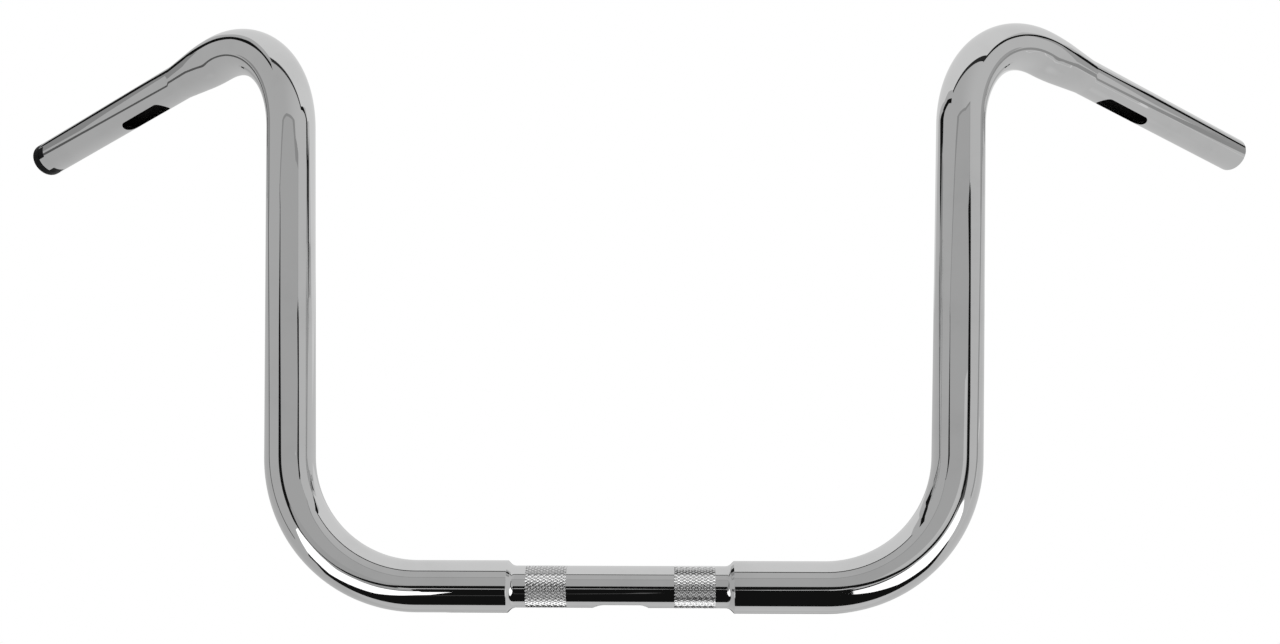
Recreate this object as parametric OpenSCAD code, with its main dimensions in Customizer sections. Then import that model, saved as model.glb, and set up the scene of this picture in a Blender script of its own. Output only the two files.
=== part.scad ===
// Ape hanger handlebar: one bent, chromed tube with a black throttle end insert.
// Millimetres. Origin at the middle of the clamp section, +X along it,
// +Y back towards the rider, +Z up the risers.

/* [Tube] */
// Outside diameter of the main tube
main_od = 31.75; // [28:0.25:35]
// Outside diameter of the clamp section and of both grips
small_od = 25.4; // [22.2:0.1:26]
// Wall thickness
wall = 2.5; // [1.8:0.1:3]

/* [Clamp section] */
// Length of the narrow section, from shoulder edge to shoulder edge
clamp_section = 136; // [128:1:160]
// Length of each shoulder, from full diameter down to the narrow one
shoulder_len = 5; // [3:0.5:8]
// Distance between the middles of the two knurled bands
clamp_spacing = 91; // [84:1:94]
// Width of each knurled band
knurl_w = 25; // [16:1:28]
// Height of the knurl above the plain tube
knurl_rise = 0.2; // [0.1:0.05:0.4]
// Length of the wire exit slot under the clamp section
exit_slot_len = 34; // [16:1:44]
// Width of the wire exit slot
exit_slot_w = 12.7; // [6:0.1:14]

/* [Bends] */
// Distance from the middle to the start of each lower bend
base_half = 125.5; // [100:0.5:180]
// Centreline radius of the lower bends
lower_bend_r = 84; // [60:1:110]
// Angle of the lower bends
lower_bend_angle = 87; // [70:1:90]
// Straight length of each riser
riser_len = 219; // [120:1:320]
// Centreline radius of the upper bends
upper_bend_r = 72; // [55:1:100]
// Angle of the upper bends
upper_bend_angle = 95.5; // [85:0.5:105]
// Angle by which each grip is swept back from straight out
pullback = 36; // [0:6:60]

/* [Grips] */
// Full diameter left after the upper bend
taper_start = 12; // [6:1:20]
// Length of the taper down to the grip diameter
taper_len = 33; // [20:1:45]
// Distance from the upper bend to the end of each grip
grip_end = 221.5; // [200:0.5:280]
// Distance from the upper bend to the near end of the wiring slot
wire_slot_start = 64; // [60:1:90]
// Length of the wiring slot
wire_slot_len = 50; // [20:1:60]
// Width of the wiring slot
wire_slot_w = 12.7; // [6:0.1:14]

/* [Throttle end] */
// Length of the insert that stands beyond the tube
flange_len = 8; // [4:0.5:12]
// Width of each of the four notches in the tube end
notch_w = 8.6; // [4:0.2:10]
// Depth of the notches
notch_depth = 6.5; // [3:0.5:12]
// Turn of the notches away from the bend plane
notch_turn = 4; // [-20:1:20]
// Length of the plug inside the tube
plug_len = 28; // [15:1:40]
// Diameter of the hole through the insert
insert_bore = 9; // [5:0.5:14]
// Bevel on the outer rim of the insert
rim_bevel = 0.8; // [0.3:0.1:1.5]
// Gap all round the plug and its lugs
insert_gap = 0.15; // [0.1:0.05:0.4]

/* [Hidden] */
$fn = 60;
over = 1;
// Each straight stops this far from the bend, and a ring that stands
// ring_rise proud closes the gap, so that the join is clean.
ring_gap = 0.4;
ring_rise = 0.03;
ring_reach = 1.4;

main_r = main_od / 2;
small_r = small_od / 2;
shoulder_x = clamp_section / 2;
taper_end = taper_start + taper_len;
throttle_tube_end = grip_end - flange_len;
bore_small_r = small_r - wall;

// Carries a drawing to the start of the riser, local +X along the tube.
module after_lower_bend()
    translate([base_half, 0, lower_bend_r])
        rotate([0, -lower_bend_angle, 0])
            translate([0, 0, -lower_bend_r])
                children();

// Carries a drawing to the start of the upper bend, local +Z to its inside.
module at_upper_bend()
    after_lower_bend()
        translate([riser_len, 0, 0])
            rotate([180 + pullback, 0, 0])
                children();

// Carries a drawing to the end of the upper bend, local +X along the grip.
module at_grip()
    at_upper_bend()
        translate([0, 0, upper_bend_r])
            rotate([0, -upper_bend_angle, 0])
                translate([0, 0, -upper_bend_r])
                    children();

// A round bar along +X from x0 to x1, tapering from r0 to r1.
module bar(x0, x1, r0, r1)
    translate([x0, 0, 0])
        rotate([0, 90, 0])
            cylinder(r1 = r0, r2 = r1, h = x1 - x0);

// A bent round bar that starts along +X and turns towards +Z.
module bend(bend_r, angle, r)
    translate([0, 0, bend_r])
        rotate([90, 0, 0])
            rotate([0, 0, -90])
                rotate_extrude(angle = angle, $fn = 120)
                    translate([bend_r, 0])
                        circle(r = r, $fn = 60);

// The ring between a bend and a straight, with its middle at x.
module join_ring(x, r) {
    bar(x - ring_reach, x, r - ring_rise, r + ring_rise);
    bar(x, x + ring_reach, r + ring_rise, r - ring_rise);
}

// The right half of the bar as a solid, from the middle to grip_stop.
// shift moves the shoulder, so that the bore keeps its wall there.
module half_bar(r_main, r_small, shift, grip_stop) {
    bar(0, shoulder_x - shoulder_len + shift, r_small, r_small);
    bar(shoulder_x - shoulder_len + shift, shoulder_x + shift, r_small, r_main);
    bar(shoulder_x + shift, base_half - ring_gap, r_main, r_main);
    translate([base_half, 0, 0]) {
        join_ring(-ring_gap / 2, r_main);
        bend(lower_bend_r, lower_bend_angle, r_main);
    }
    after_lower_bend() {
        join_ring(ring_gap / 2, r_main);
        bar(ring_gap, riser_len - ring_gap, r_main, r_main);
    }
    at_upper_bend() {
        join_ring(-ring_gap / 2, r_main);
        bend(upper_bend_r, upper_bend_angle, r_main);
    }
    at_grip() {
        join_ring(ring_gap / 2, r_main);
        bar(ring_gap, taper_start, r_main, r_main);
        bar(taper_start, taper_end, r_main, r_small);
        bar(taper_end, grip_stop, r_small, r_small);
    }
}

// A slot with round ends, long along X, cut towards +Z from the middle.
module round_slot(x0, length, width)
    linear_extrude(height = main_od) {
        translate([x0 + width / 2, -width / 2]) square([length - width, width]);
        translate([x0 + width / 2, 0]) circle(d = width);
        translate([x0 + length - width / 2, 0]) circle(d = width);
    }

module knurl_band(side)
    bar(side * clamp_spacing / 2 - knurl_w / 2, side * clamp_spacing / 2 + knurl_w / 2,
        small_r + knurl_rise, small_r + knurl_rise);

// Two crossing blocks that cut or fill the four notches of the tube end.
module notch_cross(width, x0, x1, reach)
    rotate([notch_turn, 0, 0])
        for (turn = [0, 90])
            rotate([turn, 0, 0])
                translate([x0, -width / 2, -reach])
                    cube([x1 - x0, width, 2 * reach]);

module handlebar()
    color("silver")
    difference() {
        union() {
            half_bar(main_r, small_r, 0, grip_end);
            mirror([1, 0, 0]) half_bar(main_r, small_r, 0, throttle_tube_end);
            knurl_band(1);
            knurl_band(-1);
        }
        half_bar(main_r - wall, bore_small_r, shoulder_len, grip_end + over);
        mirror([1, 0, 0])
            half_bar(main_r - wall, bore_small_r, shoulder_len, throttle_tube_end + over);
        mirror([0, 0, 1]) round_slot(-exit_slot_len / 2, exit_slot_len, exit_slot_w);
        at_grip() round_slot(wire_slot_start, wire_slot_len, wire_slot_w);
        mirror([1, 0, 0]) at_grip() {
            round_slot(wire_slot_start, wire_slot_len, wire_slot_w);
            notch_cross(notch_w, throttle_tube_end - notch_depth,
                throttle_tube_end + over, main_r);
        }
    }

module throttle_end_insert()
    color("dimgray")
    mirror([1, 0, 0])
    at_grip()
    difference() {
        union() {
            bar(throttle_tube_end - plug_len, throttle_tube_end + over,
                bore_small_r - insert_gap, bore_small_r - insert_gap);
            bar(throttle_tube_end, grip_end - rim_bevel, small_r, small_r);
            bar(grip_end - rim_bevel, grip_end, small_r, small_r - rim_bevel);
            intersection() {
                bar(throttle_tube_end - notch_depth + insert_gap,
                    throttle_tube_end + over, small_r, small_r);
                notch_cross(notch_w - 2 * insert_gap,
                    throttle_tube_end - notch_depth,
                    throttle_tube_end + 2 * over, main_r);
            }
        }
        bar(throttle_tube_end - plug_len - over, grip_end + over,
            insert_bore / 2, insert_bore / 2);
    }

handlebar();
throttle_end_insert();
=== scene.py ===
# %% [markdown]
# # A chromed ape hanger handlebar
# The real bar is one long steel tube. It is necked down where the risers clamp it and where the
# grips go, bent four times, drilled for wires and chromed. Chrome has no colour of its own: what we
# see is the room in it. So this lesson has two halves: a very smooth tube, and a studio worth
# reflecting. We first load the part's solids, which fix every size.

# %% Load the frame
import math

import bpy
from mathutils import Matrix, Vector


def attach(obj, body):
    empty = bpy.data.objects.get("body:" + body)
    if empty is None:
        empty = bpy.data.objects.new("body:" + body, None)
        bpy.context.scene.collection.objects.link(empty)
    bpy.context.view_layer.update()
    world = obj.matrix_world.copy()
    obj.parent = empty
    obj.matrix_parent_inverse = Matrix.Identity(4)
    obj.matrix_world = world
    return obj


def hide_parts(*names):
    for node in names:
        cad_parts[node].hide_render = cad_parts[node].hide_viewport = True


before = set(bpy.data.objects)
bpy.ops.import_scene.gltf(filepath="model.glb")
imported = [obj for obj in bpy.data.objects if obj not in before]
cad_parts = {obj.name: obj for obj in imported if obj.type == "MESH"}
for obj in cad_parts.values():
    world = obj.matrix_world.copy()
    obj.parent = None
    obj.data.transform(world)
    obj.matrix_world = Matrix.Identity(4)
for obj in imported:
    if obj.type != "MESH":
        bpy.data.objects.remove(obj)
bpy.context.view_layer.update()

# %% [markdown]
# ## Sizes
# All sizes are those of the solids, in metres, apart from the shoulder edges: they stand 1.7 mm
# further out, as in the photograph. The bar is walked from its middle outwards: a straight, a bend,
# a straight, a bend and the grip. A matrix for each stretch holds where it starts and which way it
# heads, so each later step can ask where the tube is.

# %% Sizes of the real tube
mm = 0.001
main_r, grip_r, wall = 15.875 * mm, 12.7 * mm, 2.5 * mm
shoulder_edge = 69.7 * mm
knurl_mid, knurl_w = 45.5 * mm, 25 * mm
base_half, lower_bend_r, lower_bend_angle = 125.5 * mm, 84 * mm, math.radians(87)
riser_len, upper_bend_r, upper_bend_angle = 219 * mm, 72 * mm, math.radians(95.5)
pullback = math.radians(36)
taper_start, taper_end, grip_end = 12 * mm, 45 * mm, 221.5 * mm
flange_len = 8 * mm
throttle_tube_end = grip_end - flange_len
wire_slot_start, wire_slot_len, slot_w = 64 * mm, 50 * mm, 12.7 * mm
exit_slot_len = 34 * mm
notch_w, notch_depth, notch_turn = 8.6 * mm, 6.5 * mm, math.radians(4)
sides, bend_steps = 128, 48


# %% Where the tube runs
def bend_end(start, bend_r, angle):
    """The place after a bend that begins at start and turns from its X axis to its Z axis."""
    hub = start @ Matrix.Translation((0, 0, bend_r))
    return hub @ Matrix.Rotation(-angle, 4, "Y") @ Matrix.Translation((0, 0, -bend_r))


def riser_frame():
    """Place and axes at the start of the right riser, with X along the tube."""
    return bend_end(Matrix.Translation((base_half, 0, 0)), lower_bend_r, lower_bend_angle)


def upper_frame():
    """At the start of the upper bend, with Z towards the inside of the bend."""
    riser_end = riser_frame() @ Matrix.Translation((riser_len, 0, 0))
    return riser_end @ Matrix.Rotation(math.pi + pullback, 4, "X")


def grip_frame():
    """At the end of the upper bend, with X along the grip and Z towards its underside."""
    return bend_end(upper_frame(), upper_bend_r, upper_bend_angle)


mirror_x = Matrix.Diagonal((-1, 1, 1, 1))
print("right grip runs along", [round(v, 3) for v in grip_frame().to_3x3().col[0]])

# %% [markdown]
# ## Pushing a ring along the bar
# A tube can be a bevelled curve, but the neck, the tapers and the shoulders want their own radii at
# exact places. So we work as a pipe bender does: start with one ring of points, extrude it along
# each straight, scale it where the tube is swaged, and spin it round each bend.


# %% Edit mode helpers
def pick_none():
    if bpy.context.mode != "OBJECT":
        bpy.ops.object.mode_set(mode="OBJECT")
    bpy.ops.object.select_all(action="DESELECT")


def pick_only(obj):
    pick_none()
    obj.select_set(True)
    bpy.context.view_layer.objects.active = obj


def first_ring(name, radius, count):
    """A ring of points round the X axis at the middle of the bar, left in edit mode."""
    pick_none()
    bpy.ops.mesh.primitive_circle_add(vertices=count, radius=radius, rotation=(0, math.pi / 2, 0))
    ring = bpy.context.object
    ring.name = name
    bpy.ops.object.transform_apply(location=True, rotation=True, scale=True)
    bpy.ops.object.mode_set(mode="EDIT")
    bpy.ops.mesh.select_all(action="SELECT")
    return ring


def push_ring(place, start, stations):
    """Extrudes the picked ring along place's X axis through (distance, radius) stations."""
    here, radius = start
    heading = place.to_3x3().col[0].normalized()
    for distance, new_radius in stations:
        bpy.ops.mesh.extrude_region_move(
            TRANSFORM_OT_translate={"value": heading * (distance - here)})
        if abs(new_radius - radius) > 1e-9:
            grow = new_radius / radius
            bpy.ops.transform.resize(
                value=(grow, grow, grow), center_override=place @ Vector((distance, 0, 0)))
        here, radius = distance, new_radius


def spin_ring(place, bend_r, angle):
    """Spins the picked ring round a bend that turns from place's X axis to its Z axis."""
    bpy.ops.mesh.spin(steps=bend_steps, angle=angle, center=place @ Vector((0, 0, bend_r)),
                      axis=place.to_3x3().col[1].normalized())


# %% [markdown]
# ## The necks
# The shoulder beside the clamp section is a short steep cone with a hollow fillet at its foot and a
# tight edge. The taper to the grip is a long cone that leaves the bend softly and meets the grip in
# a short hollow. Both are lists of (distance, radius) stations.


# %% Profiles of the shoulder and of the taper
def shoulder_stations():
    slope, hollow, round_r = math.radians(45), 5 * mm, 0.5 * mm
    arcs_rise = (hollow + round_r) * (1 - math.cos(slope))
    cone = (main_r - grip_r - arcs_rise) / math.tan(slope)
    start = shoulder_edge - (hollow + round_r) * math.sin(slope) - cone
    turns = [slope * i / 7 for i in range(8)]
    foot = [(start + hollow * math.sin(t), grip_r + hollow * (1 - math.cos(t))) for t in turns]
    edge = [(shoulder_edge - round_r * math.sin(t), main_r - round_r * (1 - math.cos(t)))
            for t in turns[::-1]]
    return foot + edge


def taper_stations():
    slope, soft, tight = (main_r - grip_r) / (taper_end - taper_start), 10 * mm, 1.2 * mm
    leaving = [(taper_start + soft * t, main_r - slope * soft * (1 + t) ** 2 / 4)
               for t in [i / 8 - 1 for i in range(17)]]
    meeting = [(taper_end + tight * t, grip_r + slope * tight * (1 - t) ** 2 / 4)
               for t in (-1, -0.6, -0.2, 0.2, 0.6, 1)]
    return leaving + meeting


print(len(shoulder_stations()), "rings in a shoulder,", len(taper_stations()), "in a taper")


# %% One half of the bar, from its middle to the end of a grip
def half_bar(name, stop):
    """The clamp section is turned down where the knurl goes, which makes the knurl's bed."""
    skin = first_ring(name, grip_r, sides)
    bed_r, lip = grip_r - 0.45 * mm, 0.02 * mm
    near, far = knurl_mid - knurl_w / 2, knurl_mid + knurl_w / 2
    clamp = [(near - lip, grip_r), (near, bed_r), (far, bed_r), (far + lip, grip_r)]
    push_ring(Matrix(), (0, grip_r), clamp + shoulder_stations() + [(base_half, main_r)])
    spin_ring(Matrix.Translation((base_half, 0, 0)), lower_bend_r, lower_bend_angle)
    push_ring(riser_frame(), (0, main_r), [(riser_len, main_r)])
    spin_ring(upper_frame(), upper_bend_r, upper_bend_angle)
    push_ring(grip_frame(), (0, main_r), taper_stations() + [(stop, grip_r)])
    bpy.ops.object.mode_set(mode="OBJECT")
    return skin


right_half = half_bar("handlebar_tube", grip_end)
left_half = half_bar("left_half", throttle_tube_end)
print("right half has", len(right_half.data.vertices), "points")

# %% [markdown]
# ## One skin, then a wall
# The left half is the same walk, a little shorter, mirrored. The two are joined at the middle,
# merged, and given outward faces. Only then does Solidify give the wall, inwards.

# %% Mirror, join and thicken
pick_only(left_half)
left_half.matrix_world = mirror_x
bpy.ops.object.transform_apply(location=True, rotation=True, scale=True)
left_half.select_set(True)
right_half.select_set(True)
bpy.context.view_layer.objects.active = right_half
bpy.ops.object.join()
tube = bpy.context.object
bpy.ops.object.mode_set(mode="EDIT")
bpy.ops.mesh.select_all(action="SELECT")
bpy.ops.mesh.remove_doubles(threshold=1e-6)
bpy.ops.mesh.normals_make_consistent(inside=False)
bpy.ops.object.mode_set(mode="OBJECT")
middle_faces = [p for p in tube.data.polygons if abs(p.center.x) < 30 * mm]
outward = sum(p.center.yz.dot(p.normal.yz) > 0 for p in middle_faces)
print("skin points", len(tube.data.vertices), "and", outward, "of", len(middle_faces),
      "faces near the middle point outwards")


def finish_with(obj, kind, **settings):
    """Adds one modifier and applies it."""
    pick_only(obj)
    step = obj.modifiers.new(kind.lower(), kind)
    for key, value in settings.items():
        setattr(step, key, value)
    bpy.ops.object.modifier_apply(modifier=step.name)


for finish_name in ("chrome_plate", "bare_bore"):
    tube.data.materials.append(bpy.data.materials.new(finish_name))
chrome_plate, bare_bore = tube.data.materials[0], tube.data.materials[1]
finish_with(tube, "SOLIDIFY", thickness=wall, offset=-1, use_even_offset=True, material_offset=1,
            material_offset_rim=0)
print("walled tube points", len(tube.data.vertices))

# %% [markdown]
# ## Wire slots and notches
# On the bench these are milled with an end mill: a slot with round ends under each grip and one
# under the clamp section, and four notches across the throttle end. We make each cutter and take
# it away with a Boolean.


# %% Cutters
cutter_reach = 30 * mm


def slot_cutter(name, start, length, place):
    """A long round-ended block along place's X axis that reaches out along its Z axis."""
    pick_none()
    bpy.ops.mesh.primitive_circle_add(vertices=64, radius=slot_w / 2, fill_type="NGON")
    cutter = bpy.context.object
    cutter.name = name
    bpy.ops.object.mode_set(mode="EDIT")
    bpy.ops.mesh.select_all(action="DESELECT")
    bpy.ops.object.mode_set(mode="OBJECT")
    for v in cutter.data.vertices:
        v.select = v.co.x > 1e-6
    bpy.ops.object.mode_set(mode="EDIT")
    bpy.ops.transform.translate(value=(length - slot_w, 0, 0))
    bpy.ops.mesh.select_all(action="SELECT")
    bpy.ops.mesh.extrude_region_move(TRANSFORM_OT_translate={"value": (0, 0, cutter_reach)})
    bpy.ops.mesh.select_all(action="SELECT")
    bpy.ops.mesh.normals_make_consistent(inside=False)
    bpy.ops.object.mode_set(mode="OBJECT")
    cutter.matrix_world = place @ Matrix.Translation((start + slot_w / 2, 0, 0))
    bpy.ops.object.transform_apply(location=True, rotation=True, scale=True)
    cutter.data.materials.append(chrome_plate)
    return cutter


def block(name, size, place):
    """A square-edged cutter with its middle at place."""
    pick_none()
    bpy.ops.mesh.primitive_cube_add(size=1)
    piece = bpy.context.object
    piece.name = name
    piece.matrix_world = place @ Matrix.Diagonal((*size, 1))
    bpy.ops.object.transform_apply(location=True, rotation=True, scale=True)
    piece.data.materials.append(chrome_plate)
    return piece


def cut(obj, cutter):
    """Takes the cutter away from obj and throws the cutter out."""
    pick_only(cutter)
    bpy.ops.object.mode_set(mode="EDIT")
    bpy.ops.mesh.select_all(action="SELECT")
    bpy.ops.mesh.normals_make_consistent(inside=False)
    bpy.ops.object.mode_set(mode="OBJECT")
    before = len(obj.data.polygons)
    finish_with(obj, "BOOLEAN", operation="DIFFERENCE", object=cutter, solver="EXACT")
    print("cut", cutter.name, "faces", before, "to", len(obj.data.polygons))
    bpy.data.objects.remove(cutter)


# %% Mill the slots and the notches
half_turn = Matrix.Rotation(math.pi, 4, "X")
left_grip = mirror_x @ grip_frame()
cut(tube, slot_cutter("exit_slot", -exit_slot_len / 2, exit_slot_len, half_turn))
cut(tube, slot_cutter("right_slot", wire_slot_start, wire_slot_len, grip_frame()))
cut(tube, slot_cutter("left_slot", wire_slot_start, wire_slot_len, left_grip))

throttle_frame = left_grip @ Matrix.Rotation(notch_turn, 4, "X")
past_end = 4 * mm
for quarter in (0, 1):
    across = throttle_frame @ Matrix.Rotation(quarter * math.pi / 2, 4, "X")
    middle = Matrix.Translation((throttle_tube_end - notch_depth / 2 + past_end / 2, 0, 0))
    cut(tube, block("notches", (notch_depth + past_end, notch_w, cutter_reach), across @ middle))

pick_only(tube)
bpy.ops.object.shade_smooth_by_angle(angle=math.radians(24))
print("tube faces", len(tube.data.polygons))

# %% [markdown]
# ## Knurling
# A knurl is rolled in by two hardened wheels, each cutting slanted grooves one way. What stands
# between the grooves is a field of small diamonds, longer along the bar than round it. We model one
# diamond, repeat it flat with Array, and wrap the sheet round the bar.

# %% One diamond, repeated and wrapped
around, along_band = 38, 7
knurl_r, crest = grip_r - 0.3 * mm, 0.5 * mm
step_round = 2 * math.pi * knurl_r / around
step_along = knurl_w / along_band
diamond_steps = ((0.92, 0.08), (0.62, 0.6), (0.6, 0.26), (0.4, 0.06))
rolled_knurl = bpy.data.materials.new("rolled_knurl")


def knurl_sheet(name):
    """A flat field of diamonds; each step of one lifts a share of the crest and shrinks."""
    pick_none()
    bpy.ops.mesh.primitive_circle_add(vertices=4, radius=0.5, fill_type="NGON")
    sheet = bpy.context.object
    sheet.name = name
    bpy.ops.object.mode_set(mode="EDIT")
    bpy.ops.mesh.select_all(action="SELECT")
    bpy.ops.transform.resize(value=(step_along, step_round, 1))
    for shrink, lift in diamond_steps:
        bpy.ops.mesh.extrude_region_move(TRANSFORM_OT_translate={"value": (0, 0, crest * lift)})
        bpy.ops.transform.resize(value=(shrink, shrink, 1))
    bpy.ops.object.mode_set(mode="OBJECT")
    finish_with(sheet, "ARRAY", count=along_band + 2, relative_offset_displace=(1, 0, 0))
    finish_with(sheet, "ARRAY", count=around, relative_offset_displace=(0, 1, 0))
    pick_only(sheet)
    bpy.ops.object.mode_set(mode="EDIT")
    bpy.ops.mesh.select_all(action="SELECT")
    half_step = (step_along / 2, step_round / 2, 0)
    bpy.ops.mesh.duplicate_move(TRANSFORM_OT_translate={"value": half_step})
    bpy.ops.mesh.select_all(action="SELECT")
    bpy.ops.mesh.remove_doubles(threshold=1e-6)
    return sheet


def knurl_band(name, middle):
    """Trims a sheet to the band's width and wraps it round the bar."""
    sheet = knurl_sheet(name)
    edge = -step_along / 4
    for cut_x, outer in ((edge, False), (edge + knurl_w, True)):
        bpy.ops.mesh.select_all(action="SELECT")
        bpy.ops.mesh.bisect(plane_co=(cut_x, 0, 0), plane_no=(1, 0, 0),
                            clear_inner=not outer, clear_outer=outer)
    bpy.ops.object.mode_set(mode="OBJECT")
    shift = middle - knurl_w / 2 - edge
    for v in sheet.data.vertices:
        turn, radius = v.co.y / knurl_r, knurl_r + v.co.z
        v.co = (v.co.x + shift, radius * math.sin(turn), radius * math.cos(turn))
    bpy.ops.object.mode_set(mode="EDIT")
    bpy.ops.mesh.select_all(action="SELECT")
    bpy.ops.mesh.remove_doubles(threshold=1e-6)
    bpy.ops.mesh.normals_make_consistent(inside=False)
    bpy.ops.object.mode_set(mode="OBJECT")
    sheet.data.materials.clear()
    sheet.data.materials.append(rolled_knurl)
    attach(sheet, "root")
    print(name, len(sheet.data.polygons), "faces")


knurl_band("knurl_right", knurl_mid)
knurl_band("knurl_left", -knurl_mid)

# %% [markdown]
# ## The throttle end insert
# The black end piece is a moulded plug. Its flange stands beyond the tube at the same diameter and
# four lugs sit in the notches, so it can't turn.


# %% Flange, plug and lugs
def turned(name, stations, count):
    """A ring pushed along the left grip through (distance, radius) stations, capped at its ends."""
    solid = first_ring(name, stations[0][1], count)
    bpy.ops.transform.translate(value=(stations[0][0], 0, 0))
    push_ring(Matrix(), stations[0], stations[1:])
    bpy.ops.object.mode_set(mode="OBJECT")
    pick_only(solid)
    bpy.ops.object.mode_set(mode="EDIT")
    bpy.ops.mesh.select_all(action="SELECT")
    bpy.ops.mesh.region_to_loop()
    bpy.ops.mesh.fill_holes(sides=0)
    bpy.ops.mesh.select_all(action="SELECT")
    bpy.ops.mesh.normals_make_consistent(inside=False)
    bpy.ops.object.mode_set(mode="OBJECT")
    solid.matrix_world = left_grip
    bpy.ops.object.transform_apply(location=True, rotation=True, scale=True)
    return solid


plug_len, gap, rim = 28 * mm, 0.15 * mm, 0.8 * mm
plug_r, lug_r, insert_bore_r = grip_r - wall - gap, grip_r - 0.1 * mm, 4.5 * mm
insert = turned("throttle_insert", [
    (throttle_tube_end - plug_len, plug_r), (throttle_tube_end, plug_r),
    (throttle_tube_end + 0.01 * mm, grip_r - 0.3 * mm), (throttle_tube_end + 0.3 * mm, grip_r),
    (grip_end - rim, grip_r), (grip_end - rim * 0.6, grip_r - rim * 0.08),
    (grip_end - rim * 0.3, grip_r - rim * 0.29), (grip_end - rim * 0.08, grip_r - rim * 0.6),
    (grip_end, grip_r - rim)], 96)
lugs = turned("lugs", [(throttle_tube_end - notch_depth + gap, lug_r),
                       (throttle_tube_end + 1 * mm, lug_r)], 96)
lug_w, cross_len = notch_w - 2 * gap, 60 * mm
cross_place = throttle_frame @ Matrix.Translation((throttle_tube_end, 0, 0))
cross = block("cross", (cross_len, lug_w, cutter_reach), cross_place)
cross_2 = block("cross_2", (cross_len, cutter_reach, lug_w), cross_place)
finish_with(cross, "BOOLEAN", operation="UNION", object=cross_2, solver="EXACT")
finish_with(lugs, "BOOLEAN", operation="INTERSECT", object=cross, solver="EXACT")
bore = turned("bore", [(throttle_tube_end - 40 * mm, insert_bore_r),
                       (grip_end + 1 * mm, insert_bore_r)], 64)
finish_with(insert, "BOOLEAN", operation="UNION", object=lugs, solver="EXACT")
finish_with(insert, "BOOLEAN", operation="DIFFERENCE", object=bore, solver="EXACT")
for spare in (cross, cross_2, lugs, bore):
    bpy.data.objects.remove(spare)
insert.data.materials.clear()
moulded_black = bpy.data.materials.new("moulded_black")
insert.data.materials.append(moulded_black)
pick_only(insert)
bpy.ops.object.shade_smooth_by_angle(angle=math.radians(30))
print("insert faces", len(insert.data.polygons))

# %% Tie the pieces to the solids
for piece, node, slot_name in ((tube, "handlebar", "chrome_tube"),
                               (insert, "throttle_end_insert", "black_insert")):
    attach(piece, "root")
    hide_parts(node)
    print(piece.name, "stands for", node)

# %% [markdown]
# ## Finishes
# Show chrome is never perfect: polishing leaves a faint haze in drifts and the plate follows the
# buffed steel in soft waves. One node group makes both, from noise at two scales.


# %% The polish group
def new_group(name, inputs, outputs):
    """An empty node group with its sockets, and its input and output nodes."""
    group = bpy.data.node_groups.new(name, "ShaderNodeTree")
    for title, kind, default in inputs:
        socket = group.interface.new_socket(title, in_out="INPUT", socket_type=kind)
        if default is not None:
            socket.default_value = default
    for title, kind in outputs:
        group.interface.new_socket(title, in_out="OUTPUT", socket_type=kind)
    return group, group.nodes.new("NodeGroupInput"), group.nodes.new("NodeGroupOutput")


def add(tree, kind, at=(0, 0), **settings):
    """A new node of a tree, with its settings."""
    node = tree.nodes.new(kind)
    node.location = at
    for key, value in settings.items():
        setattr(node, key, value)
    return node


FLOAT, VECTOR = "NodeSocketFloat", "NodeSocketVector"
polish, p_in, p_out = new_group("polish", [
    ("Place", VECTOR, None), ("Drift size", FLOAT, 18.0), ("Wave size", FLOAT, 60.0),
    ("Clean", FLOAT, 0.03), ("Hazy", FLOAT, 0.09)],
    [("Roughness", FLOAT), ("Wave", FLOAT), ("Haze", FLOAT)])
drift = add(polish, "ShaderNodeTexNoise", (-500, 200))
drift.inputs["Detail"].default_value = 5.0
drift.inputs["Roughness"].default_value = 0.62
wave = add(polish, "ShaderNodeTexNoise", (-500, -200))
wave.inputs["Detail"].default_value = 2.0
spread = add(polish, "ShaderNodeMapRange", (-250, 200), interpolation_type="SMOOTHSTEP")
spread.inputs["From Min"].default_value = 0.45
spread.inputs["From Max"].default_value = 0.75
rough = add(polish, "ShaderNodeMix", (0, 200), data_type="FLOAT")
link = polish.links.new
link(p_in.outputs["Place"], drift.inputs["Vector"])
link(p_in.outputs["Drift size"], drift.inputs["Scale"])
link(p_in.outputs["Place"], wave.inputs["Vector"])
link(p_in.outputs["Wave size"], wave.inputs["Scale"])
link(drift.outputs["Fac"], spread.inputs["Value"])
link(spread.outputs["Result"], rough.inputs["Factor"])
link(p_in.outputs["Clean"], rough.inputs["A"])
link(p_in.outputs["Hazy"], rough.inputs["B"])
link(rough.outputs["Result"], p_out.inputs["Roughness"])
link(wave.outputs["Fac"], p_out.inputs["Wave"])
link(spread.outputs["Result"], p_out.inputs["Haze"])
print("group", polish.name, "has", len(polish.nodes), "nodes")


# %% Chrome, bare steel and moulded plastic
def shader_of(material):
    """The material's node tree, its main shader and a socket with the place on the object."""
    material.use_nodes = True
    tree = material.node_tree
    shader = next(n for n in tree.nodes if n.type == "BSDF_PRINCIPLED")
    place = add(tree, "ShaderNodeTexCoord", (-900, 0))
    return tree, shader, place.outputs["Object"]


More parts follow.
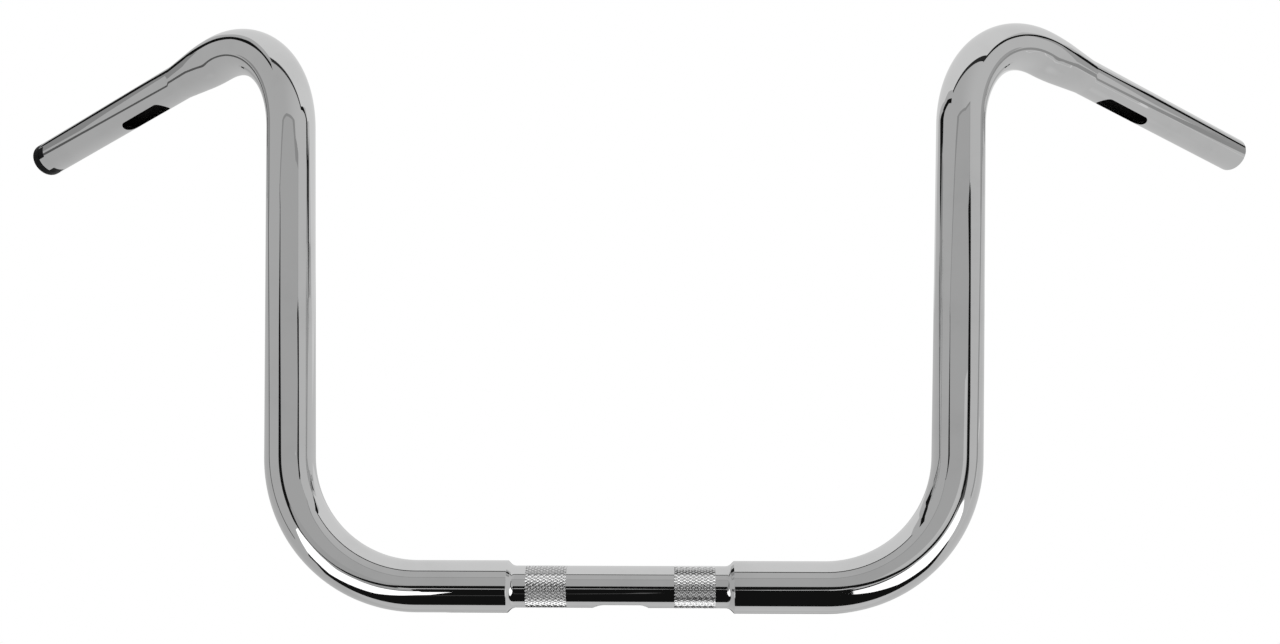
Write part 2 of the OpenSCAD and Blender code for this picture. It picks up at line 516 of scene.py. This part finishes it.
def polish_material(material, colour, hazed, clean, hazy, wave_height, metallic=1.0, **sizes):
    """Two colours and two roughnesses, one for clean places and one for hazy ones."""
    tree, shader, place = shader_of(material)
    shader.inputs["Metallic"].default_value = metallic
    group = add(tree, "ShaderNodeGroup", (-650, 0), node_tree=polish)
    for key, value in dict(sizes, Clean=clean, Hazy=hazy).items():
        group.inputs[key.replace("_", " ")].default_value = value
    tint = add(tree, "ShaderNodeMix", (-350, 150), data_type="RGBA")
    tint.inputs["A"].default_value = (*colour, 1)
    tint.inputs["B"].default_value = (*hazed, 1)
    bump = add(tree, "ShaderNodeBump", (-350, -200))
    bump.inputs["Strength"].default_value = 1.0
    bump.inputs["Distance"].default_value = wave_height
    tree.links.new(place, group.inputs["Place"])
    tree.links.new(group.outputs["Haze"], tint.inputs["Factor"])
    tree.links.new(tint.outputs["Result"], shader.inputs["Base Color"])
    tree.links.new(group.outputs["Roughness"], shader.inputs["Roughness"])
    tree.links.new(group.outputs["Wave"], bump.inputs["Height"])
    tree.links.new(bump.outputs["Normal"], shader.inputs["Normal"])
    return shader


polish_material(chrome_plate, (0.72, 0.722, 0.722), (0.68, 0.682, 0.682), 0.02, 0.05,
                0.002 * mm, Drift_size=22.0, Wave_size=45.0)
bore_shader = polish_material(
    bare_bore, (0.03, 0.029, 0.028), (0.015, 0.0145, 0.014), 0.5, 0.75, 0.03 * mm,
    metallic=0.0, Drift_size=120.0, Wave_size=400.0)
black_shader = polish_material(
    moulded_black, (0.005, 0.005, 0.0055), (0.009, 0.009, 0.0095), 0.34, 0.48, 0.03 * mm,
    metallic=0.0, Drift_size=300.0, Wave_size=1500.0)
for shader in (bore_shader, black_shader):
    shader.inputs["Specular IOR Level"].default_value = 0.05
knurl_shader = polish_material(
    rolled_knurl, (0.97, 0.972, 0.972), (0.88, 0.882, 0.882), 0.12, 0.24, 0.002 * mm,
    Drift_size=60.0, Wave_size=200.0)
print("finished", [m.name for m in (chrome_plate, bare_bore, moulded_black, rolled_knurl)])

# %% [markdown]
# The knurl is rolled, not polished, so its crests are satin. Between the diamonds the base colour
# is painted darker: painted shade for the light that is lost in the grooves. A second group finds
# how deep a point lies from its distance to the bar's axis.

# %% Painted shade in the grooves
groove, g_in, g_out = new_group("groove_depth", [("Place", VECTOR, None)], [("Crest", FLOAT)])
off_axis = add(groove, "ShaderNodeVectorMath", (-450, 0), operation="MULTIPLY")
off_axis.inputs[1].default_value = (0, 1, 1)
away = add(groove, "ShaderNodeVectorMath", (-250, 0), operation="LENGTH")
crest_mask = add(groove, "ShaderNodeMapRange", (-50, 0), interpolation_type="SMOOTHSTEP")
crest_mask.inputs["From Min"].default_value = knurl_r + 0.02 * mm
crest_mask.inputs["From Max"].default_value = knurl_r + 0.24 * mm
groove.links.new(g_in.outputs["Place"], off_axis.inputs[0])
groove.links.new(off_axis.outputs[0], away.inputs[0])
groove.links.new(away.outputs["Value"], crest_mask.inputs["Value"])
groove.links.new(crest_mask.outputs["Result"], g_out.inputs["Crest"])

knurl_tree = rolled_knurl.node_tree
depth = add(knurl_tree, "ShaderNodeGroup", (-650, 300), node_tree=groove)
# Painted shade: deep in the grooves the base colour turns a fixed dark grey, and on the crests it
# keeps the knurl's tint.
painted_groove_shade = add(knurl_tree, "ShaderNodeMix", (-150, 300), data_type="RGBA")
painted_groove_shade.inputs["A"].default_value = (0.32, 0.32, 0.32, 1)
spot = add(knurl_tree, "ShaderNodeTexCoord", (-900, 300))
knurl_tree.links.new(spot.outputs["Object"], depth.inputs["Place"])
knurl_tree.links.new(depth.outputs["Crest"], painted_groove_shade.inputs["Factor"])
knurl_tree.links.new(knurl_shader.inputs["Base Color"].links[0].from_socket, painted_groove_shade.inputs["B"])
knurl_tree.links.new(painted_groove_shade.outputs["Result"], knurl_shader.inputs["Base Color"])
print("group", groove.name, "darkens", rolled_knurl.name)

# %% [markdown]
# ## The studio
# A chrome tube squeezes the whole room into thin lines along its length, so the room is built with
# as much care as the tube. It is a light tent: a white roof that slopes down to the back, grey
# walls, an arched opening in front that leans in, a black table in the middle and white boards
# lying on it at both sides. Each is a card that only reflections see, so the picture behind the
# bar stays plain white. A board is a flat face; a band is a strip of them along a path.


# %% Cards that only reflections see
def fade_along(tree, place, fades):
    """A grey that is the sum of soft steps, each (axis, start, stop, near, far)."""
    axes = add(tree, "ShaderNodeSeparateXYZ", (-600, 0))
    grey = add(tree, "ShaderNodeCombineColor", (-100, 0))
    tree.links.new(place, axes.inputs[0])
    total = None
    for axis, *values in fades:
        step = add(tree, "ShaderNodeMapRange", (-400, 0), interpolation_type="SMOOTHSTEP")
        for title, value in zip(("From Min", "From Max", "To Min", "To Max"), values):
            step.inputs[title].default_value = value
        tree.links.new(axes.outputs[axis], step.inputs["Value"])
        both = add(tree, "ShaderNodeMath", (-250, 0), operation="ADD")
        both.inputs[1].default_value = 0.0
        tree.links.new(step.outputs["Result"], both.inputs[0])
        if total:
            tree.links.new(total, both.inputs[1])
        total = both.outputs[0]
    for channel in ("Red", "Green", "Blue"):
        tree.links.new(total, grey.inputs[channel])
    return grey.outputs[0]


def glow_paint(name, level):
    """Plain light paint. A level is a number, or (axis, start, stop, near, far) where it fades."""
    paint = bpy.data.materials.new(name + "_paint")
    paint.use_nodes = True
    tree = paint.node_tree
    tree.nodes.clear()
    glow = add(tree, "ShaderNodeEmission")
    out = add(tree, "ShaderNodeOutputMaterial", (200, 0))
    tree.links.new(glow.outputs[0], out.inputs[0])
    if isinstance(level, tuple):
        place = add(tree, "ShaderNodeTexCoord", (-800, 0)).outputs["Object"]
        tree.links.new(fade_along(tree, place, (level,)), glow.inputs["Color"])
    else:
        glow.inputs["Color"].default_value = (level, level, level, 1)
    return paint


cards = []


def for_reflections(obj, name, level):
    """Paints a card, hides it from all but reflections and keeps it out of the part."""
    cards.append(name)
    obj.name = name
    obj.data.materials.append(glow_paint(name, level))
    obj.visible_camera = obj.visible_diffuse = obj.visible_shadow = False
    obj.visible_transmission = obj.visible_volume_scatter = False


def board(name, corners, level):
    """One flat face with its corners at the given points."""
    pick_none()
    bpy.ops.mesh.primitive_circle_add(vertices=len(corners), fill_type="NGON")
    obj = bpy.context.object
    for v, corner in zip(obj.data.vertices, corners):
        v.co = corner
    for_reflections(obj, name, level)


def band(name, pairs, level):
    """A strip between two edges, given as pairs of points."""
    pick_none()
    bpy.ops.mesh.primitive_grid_add(x_subdivisions=len(pairs) - 1, y_subdivisions=1)
    obj = bpy.context.object
    for i, (one, other) in enumerate(pairs):
        obj.data.vertices[i].co = one
        obj.data.vertices[i + len(pairs)].co = other
    for_reflections(obj, name, level)


def along(path, width, place):
    """Pairs of points on both sides of a flat path; place turns (u, v) into a point.

    The width is one number, or a tuple with one for each point of the path."""
    pairs = []
    for i, here in enumerate(path):
        before, after = path[max(i - 1, 0)], path[min(i + 1, len(path) - 1)]
        heading = (Vector(after) - Vector(before)).normalized()
        here_width = width[i] if isinstance(width, tuple) else width
        aside = Vector((-heading.y, heading.x)) * here_width / 2
        pairs.append((place(*(Vector(here) + aside)), place(*(Vector(here) - aside))))
    return pairs


def count_cards():
    print(len(cards), "cards hang in the studio, the last one is", cards[-1])


BLACK, WHITE = 0.008, 1.6
print("cards are painted from", BLACK, "to", WHITE)

# %% [markdown]
# The roof is one strip between a left and a right seam. Dark seams run where it meets the front and
# the walls. The tube squeezes them into the thin black lines on the risers and upper bends.

# %% The roof and its seams
left_seam = [(-0.78, -0.47, 1.42), (-0.8, 0.062, 1.24), (-0.82, 0.31, 1.05),
             (-0.82, 0.85, 1.02), (-0.65, 2.01, 0.71)]
right_seam = [(0.99, -0.52, 1.23), (0.96, 0.045, 1.09), (1.06, 0.16, 0.88),
              (0.87, 0.34, 0.82), (1.25, 1.5, 0.53)]
band("roof", list(zip(left_seam, right_seam)), 0.77)
band("front_seam", [((-0.78, -0.47, 1.41), (-0.78, -0.56, 1.36)),
                    ((0.99, -0.52, 1.23), (0.99, -0.6, 1.18))], 0.03)
band("left_roof_seam", [
    ((-0.86, -0.57, 1.27), (-0.93, -0.65, 1.2)), ((-0.92, -0.34, 1.24), (-0.99, -0.31, 1.15)),
    ((-0.89, -0.034, 1.13), (-1.04, -0.047, 1.04)), ((-0.89, 0.024, 1.08), (-0.97, 0.073, 0.94)),
    ((-0.98, 0.36, 1.01), (-1.06, 0.24, 0.84)), ((-0.93, 0.36, 0.94), (-1.01, 0.42, 0.67)),
    ((-0.89, 0.74, 0.87), (-1.01, 0.67, 0.77))], BLACK)
band("right_roof_seam", [
    ((1.02, -0.63, 1.35), (1.02, -0.62, 1.18)), ((1.04, -0.37, 1.25), (1.07, -0.39, 1.13)),
    ((1.02, -0.21, 1.16), (1.1, -0.18, 1.05)), ((1.02, -0.05, 1.03), (1.1, -0.034, 0.93)),
    ((1.05, 0.08, 0.93), (1.08, 0.057, 0.77)), ((1.01, 0.24, 0.78), (1.04, 0.18, 0.69)),
    ((1.06, 0.4, 0.86), (1.07, 0.4, 0.52))], BLACK)
count_cards()

# %% [markdown]
# Fainter seams run low on the side walls, and each wall has a darker wing near the back. Points
# here are (y, z) on a wall.

# %% The seams low on the side walls
left_low = [(-0.15, -0.35), (-0.07, -0.08), (-0.03, 0.07), (0.03, 0.18), (0.12, 0.29),
            (0.27, 0.42), (0.43, 0.53), (0.58, 0.63)]
right_low = [(-0.15, -0.10), (-0.13, -0.02), (-0.11, 0.07), (-0.01, 0.19), (0.08, 0.32),
             (0.17, 0.46), (0.32, 0.62), (0.68, 0.65)]
right_gleam = [(-0.024, -0.43), (-0.043, -0.14), (0.03, -0.01), (-0.002, 0.15), (0.19, 0.18),
               (0.15, 0.26)]
left_wing = [(0.126, 0.41), (0.17, 0.76), (0.8, 0.95), (0.63, 0.71)]
right_wing = [(0.043, 0.42), (-0.01, 0.82), (0.56, 0.62), (0.44, 0.57)]
band("left_low_seam", along(left_low, 0.06, lambda y, z: (-1.0, y, z)), 0.117)
band("right_low_seam", along(right_low, 0.092, lambda y, z: (1.06, y, z)), 0.34)
band("right_low_gleam", along(right_gleam, 0.014, lambda y, z: (1.07, y, z)), 0.8)
board("left_wing", [(-1.01, y, z) for y, z in left_wing], ("Y", 0.3, 0.78, 0.31, 0.4))
board("right_wing", [(1.06, y, z) for y, z in right_wing], ("Y", 0.18, 0.61, 0.42, 0.61))
count_cards()

# %% [markdown]
# The front of the tent has an arched opening that leans in over the camera, with a rim round it, a
# black strip at each side and a paler gleam. Points here are (x, z).


# %% The arched opening, which leans in
def on_lean(x, z, forward=0.0):
    return (x, -1.2 + 0.44 * z + forward, z)


def lean_band(name, rows, forward, level):
    """A strip on the leaning front; each row of it is (one x, other x, z)."""
    band(name, [(on_lean(x0, z, forward), on_lean(x1, z, forward)) for x0, x1, z in rows], level)


arch = [(-0.93, -0.039), (-1.04, 0.4), (-0.99, 0.58), (-0.65, 0.64), (-0.36, 0.68), (0.4, 0.7),
        (0.73, 0.77), (0.9, 0.46), (1.02, 0.39), (1.0, -0.015)]
board("opening", [on_lean(x, z) for x, z in arch], 0.47)
band("opening_rim", along(arch[1:-1], 0.031, lambda x, z: on_lean(x, z, 0.01)), 0.33)
lean_band("opening_left", [
    (-1.16, -0.81, -0.087), (-1.06, -0.72, 0.19), (-1.05, -0.83, 0.39), (-0.91, -0.86, 0.55),
    (-0.94, -0.95, 0.59)], 0.02, BLACK)
lean_band("opening_right", [
    (0.85, 1.16, 0.011), (0.89, 1.29, 0.3), (0.87, 1.14, 0.45), (0.71, 1.05, 0.53),
    (0.84, 0.98, 0.58)], 0.02, BLACK)
lean_band("opening_gleam", [
    (0.39, 0.76, 0.024), (0.59, 0.86, 0.3), (0.87, 0.88, 0.32)], 0.015, 0.65)
count_cards()

# %% [markdown]
# Below the opening the front has a grey round at each side with a black loop under it. Between them
# hangs the black end of the table, crossed by one pale line.


# %% The front below the opening
def on_front(x, z, forward):
    return (x, -1.17 + forward, z)


def front_board(name, corners, level, forward=0.0):
    board(name, [on_front(x, z, forward) for x, z in corners], level)


def front_band(name, path, width, level, forward=0.01):
    band(name, along(path, width, lambda x, z: on_front(x, z, forward)), level)


front_board("left_round", [(-0.95, 0.09), (-0.35, 0.126), (-0.36, -0.47), (-0.92, -0.58)], 0.43)
front_band("left_loop", [
    (-0.94, 0.071), (-1.04, -0.18), (-0.9, -0.27), (-0.7, -0.34), (-0.54, -0.29), (-0.35, -0.17),
    (-0.32, 0.0)], (0.24, 0.18, 0.054, 0.1, 0.111, 0.14, 0.043), BLACK)
front_board("right_round", [(0.33, 0.126), (1.0, 0.09), (0.9, -0.36), (0.36, -0.42)], 0.61)
front_band("right_loop", [
    (0.22, 0.021), (0.27, -0.14), (0.48, -0.24), (0.6, -0.25), (0.83, -0.18), (0.96, -0.029),
    (1.02, 0.051)], (0.05, 0.19, 0.14, 0.18, 0.2, 0.14, 0.2), BLACK)
front_board("right_shade", [(1.07, 0.18), (1.31, 0.22), (1.47, -0.13), (1.06, -0.15)], 0.099)
front_board("table_front", [(-0.33, 0.006), (0.25, 0.023), (0.27, -1.6), (-0.38, -1.58)], BLACK,
            forward=0.02)
front_band("table_line", [
    (-0.39, -0.25), (-0.2, -0.26), (-0.06, -0.27), (0.04, -0.28), (0.12, -0.28), (0.33, -0.24)],
    (0.06, 0.05, 0.045, 0.012, 0.04, 0.045), 0.7, forward=0.03)
count_cards()

# %% [markdown]
# The black table makes the dark band of the clamp section. The white boards that lie on it make the
# bright streaks on the lower bends. Points here are (x, y).

# %% The black table and its white boards
table_gleam = [(-0.3, -0.63), (-0.09, -0.68), (-0.02, -0.76), (0.0, -0.9)]
band("table_gleam", along(table_gleam, 0.03, lambda x, y: (x, y, -0.6)), 0.12)
table_edge = [(-0.86, 0.0), (0.92, 0.036), (1.41, -0.35), (1.33, -0.47), (0.83, -2.3),
              (-0.73, -2.28), (-0.78, -1.3), (-1.22, -0.45), (-1.15, -0.22), (-1.0, -0.2)]
left_edge = [(-0.27, -0.73), (-0.47, -0.38), (-0.61, -0.33), (-0.82, -0.23), (-0.97, -0.33),
             (-1.2, -0.42), (-1.5, -0.8), (-1.95, -1.5), (-2.3, -2.6), (-1.8, -2.3),
             (-1.18, -1.57), (-0.92, -1.31), (-0.6, -1.25), (-0.28, -1.38)]
right_edge = [(0.36, -0.71), (0.45, -0.5), (0.61, -0.29), (0.9, -0.25), (1.2, -0.4),
              (1.67, -0.55), (2.1, -0.75), (2.6, -1.15), (4.0, -3.0), (3.6, -3.6),
              (1.4, -1.75), (1.0, -1.6), (0.6, -1.35), (0.42, -1.27)]
for name, outline, height, level in (("table", table_edge, -0.61, BLACK),
                                     ("left_board", left_edge, -0.6, WHITE),
                                     ("right_board", right_edge, -0.6, WHITE)):
    board(name, [(x, y, height) for x, y in outline], level)
count_cards()

# %% [markdown]
# From behind, the bar would reflect only the plain end of the room. One dark card, low down and
# narrow enough to stay out of the front view, draws a line on it there.

# %% A dark card low behind
band("back_card", [((x, 1.8, -0.62), (x, 1.8, -0.12)) for x in (-0.4, 0.4)], 0.05)
count_cards()

# %% [markdown]
# A reflection that meets no card sees the world: a grey room, a little lighter to one side, to the
# back and below. To the camera the same world is plain white.

# %% The room beyond the cards
room_fades = (("X", -0.35, 0.81, 0.51, 0.6), ("Y", 0.13, 1.07, 0.0, 0.068),
              ("Z", -0.86, -0.74, 0.089, 0.0))
world = bpy.data.worlds.new("studio")
bpy.context.scene.world = world
world.use_nodes = True
room = world.node_tree
room.nodes.clear()
where = add(room, "ShaderNodeTexCoord", (-900, 0))
seen = add(room, "ShaderNodeLightPath", (-250, -300))
pick_white = add(room, "ShaderNodeMix", (80, 0), data_type="RGBA")
pick_white.inputs["B"].default_value = (1, 1, 1, 1)
glow = add(room, "ShaderNodeBackground", (260, 0))
out = add(room, "ShaderNodeOutputWorld", (440, 0))
room.links.new(fade_along(room, where.outputs["Generated"], room_fades), pick_white.inputs["A"])
room.links.new(seen.outputs["Is Camera Ray"], pick_white.inputs["Factor"])
room.links.new(pick_white.outputs["Result"], glow.inputs["Color"])
room.links.new(glow.outputs[0], out.inputs[0])
print("the world fades along", [axis for axis, *_ in room_fades])

# %% [markdown]
# ## Floor and lamp
# The floor is a plain pale disc, well below the bar. The photograph looks slightly upwards, so the
# disc stays out of its frame, and the other views get a soft shadow under the bar. Further out it
# glows to the camera alone, so that it meets the white background without an edge.

# %% A pale floor that keeps the shadow
pick_none()
floor_radius, floor_z = 6, -0.45
bpy.ops.mesh.primitive_circle_add(vertices=96, radius=floor_radius, fill_type="NGON",
                                  location=(0, 0, floor_z))
floor = bpy.context.object
floor.name = "floor"
bpy.ops.object.transform_apply(location=True, rotation=True, scale=True)
floor_paint = bpy.data.materials.new("pale_floor")
floor_paint.use_nodes = True
shader = next(n for n in floor_paint.node_tree.nodes if n.type == "BSDF_PRINCIPLED")
shader.inputs["Base Color"].default_value = (0.93, 0.93, 0.93, 1)
shader.inputs["Roughness"].default_value = 0.9
shader.inputs["Specular IOR Level"].default_value = 0.0
shader.inputs["Emission Color"].default_value = (1, 1, 1, 1)
paint = floor_paint.node_tree
to_camera = add(paint, "ShaderNodeLightPath", (-600, -200))
out_from_middle = add(paint, "ShaderNodeVectorMath", (-650, -400), operation="LENGTH")
whiter = add(paint, "ShaderNodeMapRange", (-450, -400), interpolation_type="SMOOTHSTEP")
for title, value in (("From Min", 0.5), ("From Max", 4.0), ("To Min", 0.05), ("To Max", 0.8)):
    whiter.inputs[title].default_value = value
shown = add(paint, "ShaderNodeMath", (-250, -200), operation="MULTIPLY")
spot = add(paint, "ShaderNodeTexCoord", (-850, -400))
paint.links.new(spot.outputs["Object"], out_from_middle.inputs[0])
paint.links.new(out_from_middle.outputs["Value"], whiter.inputs["Value"])
paint.links.new(to_camera.outputs["Is Camera Ray"], shown.inputs[0])
paint.links.new(whiter.outputs["Result"], shown.inputs[1])
paint.links.new(shown.outputs[0], shader.inputs["Emission Strength"])
floor.data.materials.append(floor_paint)
floor.visible_glossy = False
print("floor at", floor_z, "m, seen but not reflected")

# %% A soft lamp overhead
bpy.ops.object.light_add(type="AREA", location=(0, 0.2, 2.2))
lamp = bpy.context.object
lamp.data.shape = "SQUARE"
lamp.data.size = 0.6
lamp.data.energy = 34
lamp.visible_glossy = False
print("lamp", lamp.data.size, "m wide,", lamp.data.energy, "W")

# %% [markdown]
# ## The camera
# The photograph was taken from about 0.9 m in front, level with the clamp section and tipped up a
# little, so both grips lean away from us. The lens comes from the focal length in the photograph's
# own pixels.

# %% Camera
photo_width_px, focal_px = 1280, 1413.7
bpy.ops.object.camera_add(location=(0.0357, -0.8845, -0.0198))
camera = bpy.context.object
camera.data.sensor_width = 36
camera.data.lens = camera.data.sensor_width * focal_px / photo_width_px
yaw, pitch, roll = math.radians(-1.588), math.radians(11.894), math.radians(0.238)
aim = Vector((math.sin(yaw) * math.cos(pitch), math.cos(yaw) * math.cos(pitch),
              math.sin(pitch)))
level_right = Vector((math.cos(yaw), -math.sin(yaw), 0))
level_up = level_right.cross(aim)
right = math.cos(roll) * level_right + math.sin(roll) * level_up
up = -math.sin(roll) * level_right + math.cos(roll) * level_up
camera.rotation_mode = "QUATERNION"
camera.rotation_quaternion = Matrix((right, up, -aim)).transposed().to_quaternion()
camera.data.clip_start, camera.data.clip_end = 0.01, 100
bpy.context.scene.camera = camera
bpy.context.scene.view_settings.view_transform = "Standard"
print("lens", round(camera.data.lens, 2), "mm")
